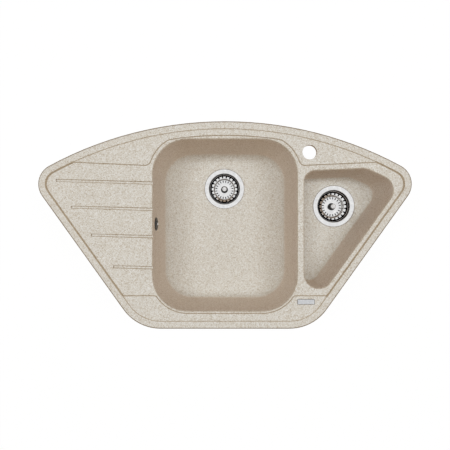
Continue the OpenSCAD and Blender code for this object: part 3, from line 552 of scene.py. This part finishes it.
@dataclass(frozen=True)
class TurnedBrass(Finish):
    """Free-cutting brass, turned in a lathe.

    The eye sees warm yellow metal with rings round its axis. The tool leaves them about 0.2 mm apart. They
    are drawn 2.5 mm apart, as finer ones don't show.
    """

    name: str = "brass_turned"
    roughness: float = 0.25
    metallic: float = 1.0
    # The wave texture turns through 20 radians in this length
    wave_mm: float = 8.0
    ring_depth_mm: float = 0.02
    ring_strength: float = 0.3
    stops: Stops = ((0.2, "#c79f4c"), (0.8, "#d9b565"))

    def build(self) -> bpy.types.Material:
        """Builds the brass's material.

        Returns:
            The material.
        """
        material, tree, shader, place = self.start()
        rings = add_node(tree, "ShaderNodeTexWave", {"Scale": grain(self.wave_mm), "Distortion": 0.5},
                         {"Vector": place}, wave_type="BANDS", bands_direction="Z")
        tint = add_node(tree, "ShaderNodeValToRGB", links={"Fac": rings.outputs["Fac"]})
        set_ramp(tint, self.stops)
        tree.links.new(tint.outputs["Color"], shader.inputs["Base Color"])
        self.bump(tree, shader, rings.outputs["Fac"], self.ring_depth_mm, self.ring_strength)
        return material


@dataclass
class Palette:
    """The materials by the record's slots, each built once, and the steels of single pieces."""

    made: dict[Slot, bpy.types.Material] = field(default_factory=dict)
    cup: bpy.types.Material | None = None
    plate: bpy.types.Material | None = None
    border: bpy.types.Material | None = None

    def build(self) -> None:
        """Builds every material. The cup's steel gets painted shade, nearly black, where the basket shades
        it.
        """
        self.made = {
            Slot.COMPOSITE: QuartzComposite().build(),
            Slot.STEEL: StainlessSteel().build(),
            Slot.ZINC: ZincPlate().build(),
            Slot.WHITE_PLASTIC: MouldedPlastic().build(),
            Slot.BLACK_PLASTIC: MouldedPlastic(
                name="abs_black", base="#1d1d1e", shade="#161617", roughness=0.3).build(),
            Slot.RUBBER: NitrileRubber().build(),
            Slot.BRASS: TurnedBrass().build()}
        self.cup = StainlessSteel(
            name="stainless_steel_cup", gap_mm=20.0, gap_shade_tint="#0c0d0e", gap_open=(0.86, 0.6)).build()
        self.plate = StainlessSteel(
            name="stainless_steel_satin_plate", roughness=0.34, base="#cbccce", dull="#c0c1c4",
            bright="#d8d9da", wipe_mm=3.0).build()
        self.border = StainlessSteel(
            name="stainless_steel_dark_border", roughness=0.4, base="#77797c", dull="#6b6d70",
            bright="#838588", wipe_mm=3.0).build()


# Work on meshes


def only(obj: bpy.types.Object) -> None:
    """Makes one object the active one and the only one selected.

    Args:
        obj: The object.
    """
    bpy.ops.object.select_all(action="DESELECT")
    obj.select_set(True)
    bpy.context.view_layer.objects.active = obj


def choose(obj: bpy.types.Object, mode: str, test: Callable[[Any], bool]) -> None:
    """Selects parts of a mesh in edit mode by a test, and nothing else.

    Args:
        obj: Object in edit mode.
        mode: VERT, EDGE or FACE.
        test: Says of each vertex, edge or face whether it is selected.
    """
    bpy.ops.mesh.select_mode(type=mode)
    bpy.ops.mesh.select_all(action="DESELECT")
    mesh = bmesh.from_edit_mesh(obj.data)
    parts = {"VERT": mesh.verts, "EDGE": mesh.edges, "FACE": mesh.faces}[mode]
    for part in parts:
        if test(part):
            part.select_set(True)
    mesh.select_flush_mode()
    bmesh.update_edit_mesh(obj.data)


def settle(obj: bpy.types.Object) -> None:
    """Puts an object's place, turn and size into its mesh."""
    only(obj)
    bpy.ops.object.transform_apply(location=True, rotation=True, scale=True)


def smooth(obj: bpy.types.Object, angle: float) -> None:
    """Shades an object smooth across edges below an angle, and keeps its flats flat.

    Args:
        obj: The object.
        angle: Largest angle in degrees that is smoothed.
    """
    only(obj)
    bpy.ops.object.shade_smooth_by_angle(angle=math.radians(angle))
    weigh = obj.modifiers.new("flats", "WEIGHTED_NORMAL")
    weigh.mode = "FACE_AREA"
    weigh.weight = FLATS_WEIGHT
    weigh.keep_sharp = True
    bpy.ops.object.modifier_apply(modifier=weigh.name)


def body_of(node: str) -> str:
    """Gives the name of the body that carries a CAD node."""
    return next(name for name, nodes in frame["record"]["behaviour"]["bodies"].items() if node in nodes)


@dataclass
class Dresser:
    """Dresses CAD nodes: each gets a merged, smooth copy with its finish, which stands for it."""

    palette: Palette
    merge_mm: float = 0.004

    def dress(
        self, node: str, slot: Slot, angle: float = 40.0, finish: bpy.types.Material | None = None,
    ) -> bpy.types.Object:
        """Makes the dressed copy of one node.

        Args:
            node: The CAD node's name.
            slot: The record's material slot of the node.
            angle: Largest angle in degrees that is smoothed.
            finish: Material to use in place of the slot's own.

        Returns:
            The dressed copy.
        """
        source = frame["nodes"][node]
        skin = source.copy()
        skin.data = source.data.copy()
        skin.name = f"{node}_skin"
        skin.parent = None
        bpy.context.scene.collection.objects.link(skin)
        only(skin)
        bpy.ops.object.mode_set(mode="EDIT")
        bpy.ops.mesh.select_all(action="SELECT")
        bpy.ops.mesh.remove_doubles(threshold=self.merge_mm * MM)
        bpy.ops.object.mode_set(mode="OBJECT")
        # The normals that come with the CAD mesh would override the smoothing
        bpy.ops.mesh.customdata_custom_splitnormals_clear()
        skin.data.materials.clear()
        skin.data.materials.append(finish or self.palette.made[slot])
        smooth(skin, angle)
        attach(skin, body_of(node))
        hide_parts(node)
        LOG.info("%s: %d faces", skin.name, len(skin.data.polygons))
        return skin


# The sink's sub-assemblies


@dataclass
class Moulding:
    """The cast sink and the strip under its rim."""

    dresser: Dresser
    smooth_angle: float = 32.0
    edge_mm: Span = (6.0, 8.95)

    def build(self) -> None:
        """Dresses the moulding and its strip."""
        self.mark_edge_shade(self.dresser.dress("sink_body", Slot.COMPOSITE, self.smooth_angle))
        self.dresser.dress("rim_seal", Slot.RUBBER)

    def mark_edge_shade(self, skin: bpy.types.Object) -> None:
        """Marks the rim's outer rounding for painted shade: nothing of the sink lies outward of it.

        Args:
            skin: The dressed moulding.
        """
        bpy.context.view_layer.update()
        low, high = (height * MM for height in self.edge_mm)
        mark = skin.data.attributes.new(EDGE_SHADE_MARK, "FLOAT", "POINT")
        for vertex in skin.data.vertices:
            outward = Vector((vertex.co.x, vertex.co.y, 0.0)).normalized()
            if low < vertex.co.z < high and not skin.ray_cast(vertex.co + outward * MM, outward)[0]:
                mark.data[vertex.index].value = 1.0


@dataclass
class NamePlate:
    """The thin, plain metal plate on the front deck, with a raised border."""

    palette: Palette
    centre_mm: tuple[float, float] = (195.0, -185.0)
    size_mm: tuple[float, float] = (41.5, 12.5)
    thick_mm: float = 0.7
    corner_mm: float = 1.6
    corner_steps: int = 5
    border_mm: float = 0.9
    border_side_mm: float = 0.15
    sunk_mm: float = 0.2
    edge_mm: float = 0.12
    edge_steps: int = 2
    smooth_angle: float = 35.0
    edge_angle: float = 40.0
    # Faces whose normals rise by more than this lie on top
    top_rise: float = 0.9
    # Height from which the deck is looked for, well above it
    probe_height: float = 1.0

    def build(self) -> bpy.types.Object:
        """Models the plate on the deck under it.

        Returns:
            The plate.
        """
        seat = self.deck_height()
        border_z = seat + (self.thick_mm - self.sunk_mm / 2) * MM
        bpy.ops.object.select_all(action="DESELECT")
        bpy.ops.mesh.primitive_cube_add(
            size=1.0,
            location=(self.centre_mm[0] * MM, self.centre_mm[1] * MM, seat + self.thick_mm * MM / 2),
            scale=(self.size_mm[0] * MM, self.size_mm[1] * MM, self.thick_mm * MM))
        plate = bpy.context.object
        plate.name = "name_plate"
        settle(plate)
        bpy.ops.object.mode_set(mode="EDIT")
        choose(plate, "EDGE", lambda e: abs((e.verts[0].co - e.verts[1].co).z) > 0.5 * self.thick_mm * MM)
        bpy.ops.mesh.bevel(offset=self.corner_mm * MM, segments=self.corner_steps, affect="EDGES")
        choose(plate, "FACE", lambda f: f.normal.z > self.top_rise)
        bpy.ops.mesh.inset(thickness=self.border_mm * MM)
        bpy.ops.mesh.inset(thickness=self.border_side_mm * MM, depth=-self.sunk_mm * MM)
        choose(plate, "FACE", lambda f: f.calc_center_median().z > border_z)
        plate.data.materials.append(self.palette.plate)
        plate.data.materials.append(self.palette.border)
        plate.active_material_index = 1
        bpy.ops.object.material_slot_assign()
        bpy.ops.object.mode_set(mode="OBJECT")
        edge = plate.modifiers.new("edge", "BEVEL")
        edge.width = self.edge_mm * MM
        edge.segments = self.edge_steps
        edge.limit_method = "ANGLE"
        edge.angle_limit = math.radians(self.edge_angle)
        only(plate)
        bpy.ops.object.modifier_apply(modifier=edge.name)
        smooth(plate, self.smooth_angle)
        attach(plate, body_of("sink_body"))
        LOG.info("name_plate: %d faces", len(plate.data.polygons))
        return plate

    def deck_height(self) -> float:
        """Finds the height of the deck under the plate's centre.

        Returns:
            Height of the deck in metres.
        """
        body = bpy.data.objects["sink_body_skin"]
        bpy.context.view_layer.update()
        above = Vector((self.centre_mm[0] * MM, self.centre_mm[1] * MM, self.probe_height))
        return body.ray_cast(above, Vector((0, 0, -1)))[1].z


@dataclass
class Strainer:
    """One bowl's waste: its flange, basket, seals, body and nut."""

    dresser: Dresser
    bowl: Bowl
    slots: dict[str, Slot] = field(default_factory=lambda: {
        "basket": Slot.STEEL, "basket_knob": Slot.STEEL, "basket_stem": Slot.STEEL,
        "basket_nut": Slot.STEEL, "centre_screw": Slot.STEEL, "basket_collar": Slot.BLACK_PLASTIC,
        "basket_plug": Slot.RUBBER, "upper_seal": Slot.RUBBER, "lower_gasket": Slot.RUBBER,
        "outlet_washer": Slot.RUBBER, "waste_body": Slot.WHITE_PLASTIC, "outlet_nut": Slot.WHITE_PLASTIC,
        "insert_nut": Slot.BRASS})

    def build(self) -> None:
        """Dresses the nodes of this bowl's waste, the flange in the cup's own steel."""
        self.dresser.dress(f"{self.bowl.value}_flange", Slot.STEEL, finish=self.dresser.palette.cup)
        for part, slot in self.slots.items():
            self.dresser.dress(f"{self.bowl.value}_{part}", slot)


@dataclass
class Overflow:
    """The overflow in the main bowl's wall and its hose."""

    dresser: Dresser
    # The hose's ribs stay soft up to this angle
    rib_angle: float = 50.0

    def build(self) -> None:
        """Dresses the overflow's nodes."""
        self.dresser.dress("overflow_cover", Slot.BLACK_PLASTIC)
        self.dresser.dress("overflow_screw", Slot.STEEL)
        self.dresser.dress("overflow_seal", Slot.RUBBER)
        self.dresser.dress("overflow_elbow", Slot.WHITE_PLASTIC)
        self.dresser.dress("overflow_hose", Slot.WHITE_PLASTIC, self.rib_angle)
        self.dresser.dress("hose_clamps", Slot.ZINC)


@dataclass
class WasteLink:
    """The pipes that join the two wastes."""

    dresser: Dresser

    def build(self) -> None:
        """Dresses the pipes and their seals."""
        for node in ("half_tailpiece", "link_elbow", "link_pipe", "waste_tee"):
            self.dresser.dress(node, Slot.WHITE_PLASTIC)
        self.dresser.dress("link_seals", Slot.RUBBER)


@dataclass
class Fixings:
    """The brackets under the rim with their plugs and screws."""

    dresser: Dresser

    def build(self) -> None:
        """Dresses the brackets, plugs and screws."""
        self.dresser.dress("clip_anchors", Slot.WHITE_PLASTIC)
        self.dresser.dress("clip_brackets", Slot.ZINC)
        self.dresser.dress("clip_screws", Slot.ZINC)


# Studio


@dataclass(frozen=True)
class Lamp:
    """One soft lamp over the sink that points straight down and shows in no mirror."""

    name: str
    place: tuple[float, float, float]
    size: tuple[float, float]
    power: float
    tint: str = "#eaf5ff"

    def build(self) -> None:
        """Hangs the lamp."""
        bpy.ops.object.select_all(action="DESELECT")
        bpy.ops.object.light_add(type="AREA", location=self.place)
        lamp = bpy.context.object
        lamp.name = self.name
        lamp.data.shape = "RECTANGLE"
        lamp.data.size, lamp.data.size_y = self.size
        lamp.data.energy = self.power
        lamp.data.color = linear(self.tint)[:3]
        lamp.visible_glossy = False


@dataclass
class Studio:
    """Plain pale floor, white surroundings, soft lamps and the camera straight above."""

    photo_px: int = 450
    px_per_mm: float = 0.4145
    camera_height: float = 1.005
    camera_foot: tuple[float, float] = (-0.003, -0.013)
    deck_height: float = 0.005
    sensor_mm: float = 36.0
    clip: Span = (0.05, 30.0)
    fill: float = 0.33
    fill_tint: str = "#ffe7cf"
    floor_size: float = 14.0
    floor_drop: float = 0.0015
    floor_tint: str = "#fbfbfa"
    # A little over 1, so that the kept shadow leaves the background white
    floor_glow: float = 1.02
    white: str = "#ffffff"
    kept_shadow: float = 0.08
    lamps: tuple[Lamp, ...] = (
        Lamp("softbox_left", (-2.2, 0.45, 6.0), (2.3, 1.3), 122.0),
        Lamp("softbox_right", (2.2, 0.45, 6.0), (2.3, 1.3), 122.0),
        Lamp("softbox_middle", (0.0, 0.5, 6.0), (1.6, 1.3), 60.0))

    def build(self) -> None:
        """Builds the floor, the world, the lamps and the camera."""
        self.add_floor()
        self.add_world()
        for lamp in self.lamps:
            lamp.build()
        self.add_camera()

    def white_to_rays(self, tree: bpy.types.NodeTree) -> bpy.types.NodeSocket:
        """Adds a factor that is 1 for camera, glossy and transmission rays.

        Args:
            tree: Tree of the floor's material or the world.

        Returns:
            The factor's socket.
        """
        rays = add_node(tree, "ShaderNodeLightPath")
        first = add_node(tree, "ShaderNodeMath", links={
            0: rays.outputs["Is Camera Ray"], 1: rays.outputs["Is Glossy Ray"]}, operation="MAXIMUM")
        both = add_node(tree, "ShaderNodeMath", links={
            0: first.outputs["Value"], 1: rays.outputs["Is Transmission Ray"]}, operation="MAXIMUM")
        return both.outputs["Value"]

    def add_floor(self) -> None:
        """Adds the pale floor just under the lowest pipe. It keeps part of the sink's shadow."""
        bpy.ops.object.select_all(action="DESELECT")
        bpy.ops.mesh.primitive_plane_add(
            size=self.floor_size, location=(0, 0, CAD_BOX[0][2] - self.floor_drop))
        floor = bpy.context.object
        floor.name = "studio_floor"
        settle(floor)
        material = bpy.data.materials.new("studio_white")
        material.use_nodes = True
        tree = material.node_tree
        tree.nodes.clear()
        paper = add_node(tree, "ShaderNodeBsdfDiffuse", {"Color": linear(self.floor_tint)})
        glow = add_node(tree, "ShaderNodeEmission",
                        {"Color": linear(self.white), "Strength": self.floor_glow})
        seen = add_node(tree, "ShaderNodeMath", {1: 1.0 - self.kept_shadow}, {0: self.white_to_rays(tree)},
                        operation="MULTIPLY")
        mix = add_node(tree, "ShaderNodeMixShader", links={
            0: seen.outputs["Value"], 1: paper.outputs["BSDF"], 2: glow.outputs["Emission"]})
        add_node(tree, "ShaderNodeOutputMaterial", links={"Surface": mix.outputs["Shader"]})
        floor.data.materials.append(material)

    def add_world(self) -> None:
        """Makes the world white to the eye and a weaker, even fill on the sink."""
        world = bpy.data.worlds.new("studio_world")
        bpy.context.scene.world = world
        world.use_nodes = True
        tree = world.node_tree
        tree.nodes.clear()
        dim = add_node(tree, "ShaderNodeBackground", {"Color": linear(self.fill_tint), "Strength": self.fill})
        white = add_node(tree, "ShaderNodeBackground", {"Color": linear(self.white), "Strength": 1.0})
        mix = add_node(tree, "ShaderNodeMixShader", links={
            0: self.white_to_rays(tree), 1: dim.outputs["Background"], 2: white.outputs["Background"]})
        add_node(tree, "ShaderNodeOutputWorld", links={"Surface": mix.outputs["Shader"]})

    def add_camera(self) -> None:
        """Sets the camera straight above the sink, as in the photograph."""
        camera = bpy.data.objects.new("photo_camera", bpy.data.cameras.new("photo_camera"))
        bpy.context.scene.collection.objects.link(camera)
        camera.location = (*self.camera_foot, self.deck_height + self.camera_height)
        camera.data.sensor_width = self.sensor_mm
        reach_px = self.px_per_mm * self.camera_height / MM
        camera.data.lens = reach_px / self.photo_px * camera.data.sensor_width
        camera.data.shift_x, camera.data.shift_y = (
            -foot / MM * self.px_per_mm / self.photo_px for foot in self.camera_foot)
        camera.data.clip_start, camera.data.clip_end = self.clip
        bpy.context.scene.camera = camera


def main() -> None:
    logging.basicConfig(level=logging.INFO, format="%(name)s: %(message)s")
    bpy.context.scene.view_settings.view_transform = "Standard"
    palette = Palette()
    palette.build()
    dresser = Dresser(palette)
    Moulding(dresser).build()
    NamePlate(palette).build()
    for bowl in Bowl:
        Strainer(dresser, bowl).build()
    Overflow(dresser).build()
    WasteLink(dresser).build()
    Fixings(dresser).build()
    Studio().build()
    bpy.context.view_layer.update()


if __name__ == "__main__":
    main()
